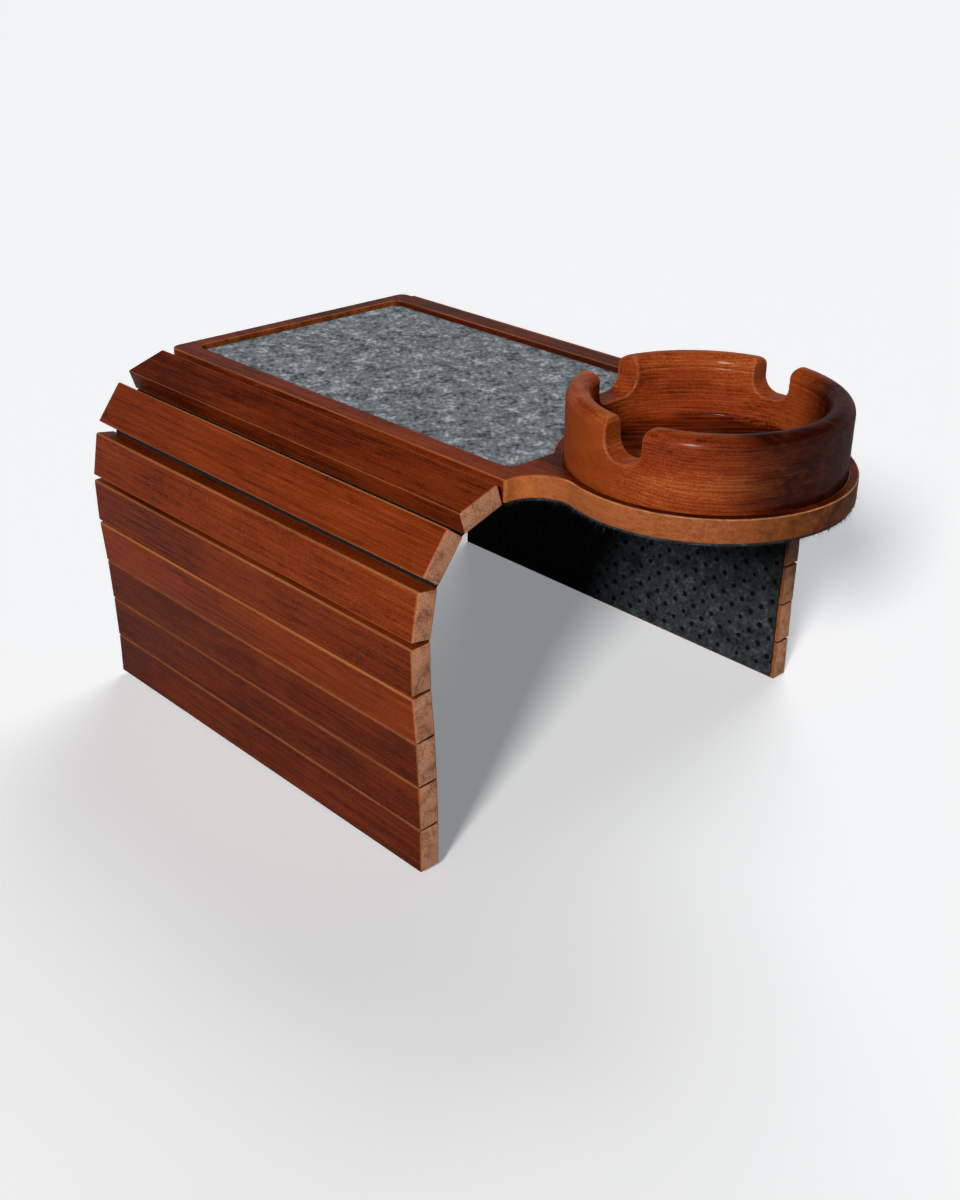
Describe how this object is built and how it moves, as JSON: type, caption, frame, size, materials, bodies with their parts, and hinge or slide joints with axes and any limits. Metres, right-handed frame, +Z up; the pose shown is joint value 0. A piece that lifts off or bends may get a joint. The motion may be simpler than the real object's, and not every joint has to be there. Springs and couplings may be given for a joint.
{
  "type": "sofa arm tray with bowl",
  "caption": "Wooden tray that drapes over a sofa's armrest, with slatted flaps on a felt backing and a lobe at the front that seats a turned bowl.",
  "frame": {"origin": "middle of the rectangular board, on the backing felt's free face, where the tray rests on the armrest", "axes": "+X across the armrest, +Y along it away from the bowl, +Z up"},
  "size_m": [0.2758, 0.3522, 0.2076],
  "materials": {
    "board_wood": "satin lacquered, red-brown stain",
    "bowl_wood": "satin lacquered, turned, red-brown stain",
    "slat_wood": "satin lacquered, red-brown stain",
    "inlay_felt": "pressed heather felt",
    "backing_felt": "pressed felt",
    "grip_dots": "small dots printed on the backing felt"
  },
  "bodies": {
    "board": {"tray_board": "board_wood", "recess_felt": "inlay_felt", "board_felt": "backing_felt"},
    "bowl": {"turned_bowl": "bowl_wood"},
    "left_flap_1": {"left_slat_1": "slat_wood", "left_felt_1": "backing_felt"},
    "left_flap_2": {"left_slat_2": "slat_wood", "left_felt_2": "backing_felt"},
    "left_flap_3": {"left_slat_3": "slat_wood", "left_felt_3": "backing_felt"},
    "left_flap_4": {"left_slat_4": "slat_wood", "left_felt_4": "backing_felt"},
    "left_flap_5": {"left_slat_5": "slat_wood", "left_felt_5": "backing_felt"},
    "left_flap_6": {"left_slat_6": "slat_wood", "left_felt_6": "backing_felt"},
    "left_flap_7": {"left_slat_7": "slat_wood", "left_felt_7": "backing_felt"},
    "left_flap_8": {"left_slat_8": "slat_wood", "left_felt_8": "backing_felt"},
    "right_flap_1": {"right_slat_1": "slat_wood", "right_felt_1": "backing_felt"},
    "right_flap_2": {"right_slat_2": "slat_wood", "right_felt_2": "backing_felt"},
    "right_flap_3": {"right_slat_3": "slat_wood", "right_felt_3": "backing_felt"},
    "right_flap_4": {"right_slat_4": "slat_wood", "right_felt_4": "backing_felt"},
    "right_flap_5": {"right_slat_5": "slat_wood", "right_felt_5": "backing_felt"},
    "right_flap_6": {"right_slat_6": "slat_wood", "right_felt_6": "backing_felt"},
    "right_flap_7": {"right_slat_7": "slat_wood", "right_felt_7": "backing_felt"},
    "right_flap_8": {"right_slat_8": "slat_wood", "right_felt_8": "backing_felt"}
  },
  "joints": [
    {"name": "bowl_lift", "type": "slide", "parent": "board", "child": "bowl", "axis": [0, 0, 1], "range_m": [0, 0.05]},
    {"name": "left_fold_1", "type": "hinge", "parent": "board", "child": "left_flap_1", "pos_m": [-0.08035, 0, 0], "axis": [0, -1, 0], "range_deg": [-21, 18]},
    {"name": "left_fold_2", "type": "hinge", "parent": "left_flap_1", "child": "left_flap_2", "pos_m": [-0.10222, 0, -0.00711], "axis": [0, -1, 0], "range_deg": [-38, 1]},
    {"name": "left_fold_3", "type": "hinge", "parent": "left_flap_2", "child": "left_flap_3", "pos_m": [-0.11607, 0, -0.02548], "axis": [0, -1, 0], "range_deg": [-30, 9]},
    {"name": "left_fold_4", "type": "hinge", "parent": "left_flap_3", "child": "left_flap_4", "pos_m": [-0.12006, 0, -0.04813], "axis": [0, -1, 0], "range_deg": [-14, 25]},
    {"name": "left_fold_5", "type": "hinge", "parent": "left_flap_4", "child": "left_flap_5", "pos_m": [-0.11966, 0, -0.07112], "axis": [0, -1, 0], "range_deg": [-7, 32]},
    {"name": "left_fold_6", "type": "hinge", "parent": "left_flap_5", "child": "left_flap_6", "pos_m": [-0.11765, 0, -0.09404], "axis": [0, -1, 0], "range_deg": [-1, 38]},
    {"name": "left_fold_7", "type": "hinge", "parent": "left_flap_6", "child": "left_flap_7", "pos_m": [-0.11645, 0, -0.117], "axis": [0, -1, 0], "range_deg": [-2, 37]},
    {"name": "left_fold_8", "type": "hinge", "parent": "left_flap_7", "child": "left_flap_8", "pos_m": [-0.11565, 0, -0.13999], "axis": [0, -1, 0], "range_deg": [-1, 38]},
    {"name": "right_fold_1", "type": "hinge", "parent": "board", "child": "right_flap_1", "pos_m": [0.08035, 0, 0], "axis": [0, 1, 0], "range_deg": [-38, 1]},
    {"name": "right_fold_2", "type": "hinge", "parent": "right_flap_1", "child": "right_flap_2", "pos_m": [0.09919, 0, -0.01319], "axis": [0, 1, 0], "range_deg": [-21, 18]},
    {"name": "right_fold_3", "type": "hinge", "parent": "right_flap_2", "child": "right_flap_3", "pos_m": [0.11303, 0, -0.03156], "axis": [0, 1, 0], "range_deg": [-12, 27]},
    {"name": "right_fold_4", "type": "hinge", "parent": "right_flap_3", "child": "right_flap_4", "pos_m": [0.12383, 0, -0.05187], "axis": [0, 1, 0], "range_deg": [-9, 30]},
    {"name": "right_fold_5", "type": "hinge", "parent": "right_flap_4", "child": "right_flap_5", "pos_m": [0.13245, 0, -0.07319], "axis": [0, 1, 0], "range_deg": [-25, 14]},
    {"name": "right_fold_6", "type": "hinge", "parent": "right_flap_5", "child": "right_flap_6", "pos_m": [0.13245, 0, -0.09619], "axis": [0, 1, 0], "range_deg": [-4, 35]},
    {"name": "right_fold_7", "type": "hinge", "parent": "right_flap_6", "child": "right_flap_7", "pos_m": [0.13204, 0, -0.11919], "axis": [0, 1, 0], "range_deg": [-1, 38]},
    {"name": "right_fold_8", "type": "hinge", "parent": "right_flap_7", "child": "right_flap_8", "pos_m": [0.13245, 0, -0.14219], "axis": [0, 1, 0], "range_deg": [-4, 35]}
  ]
}
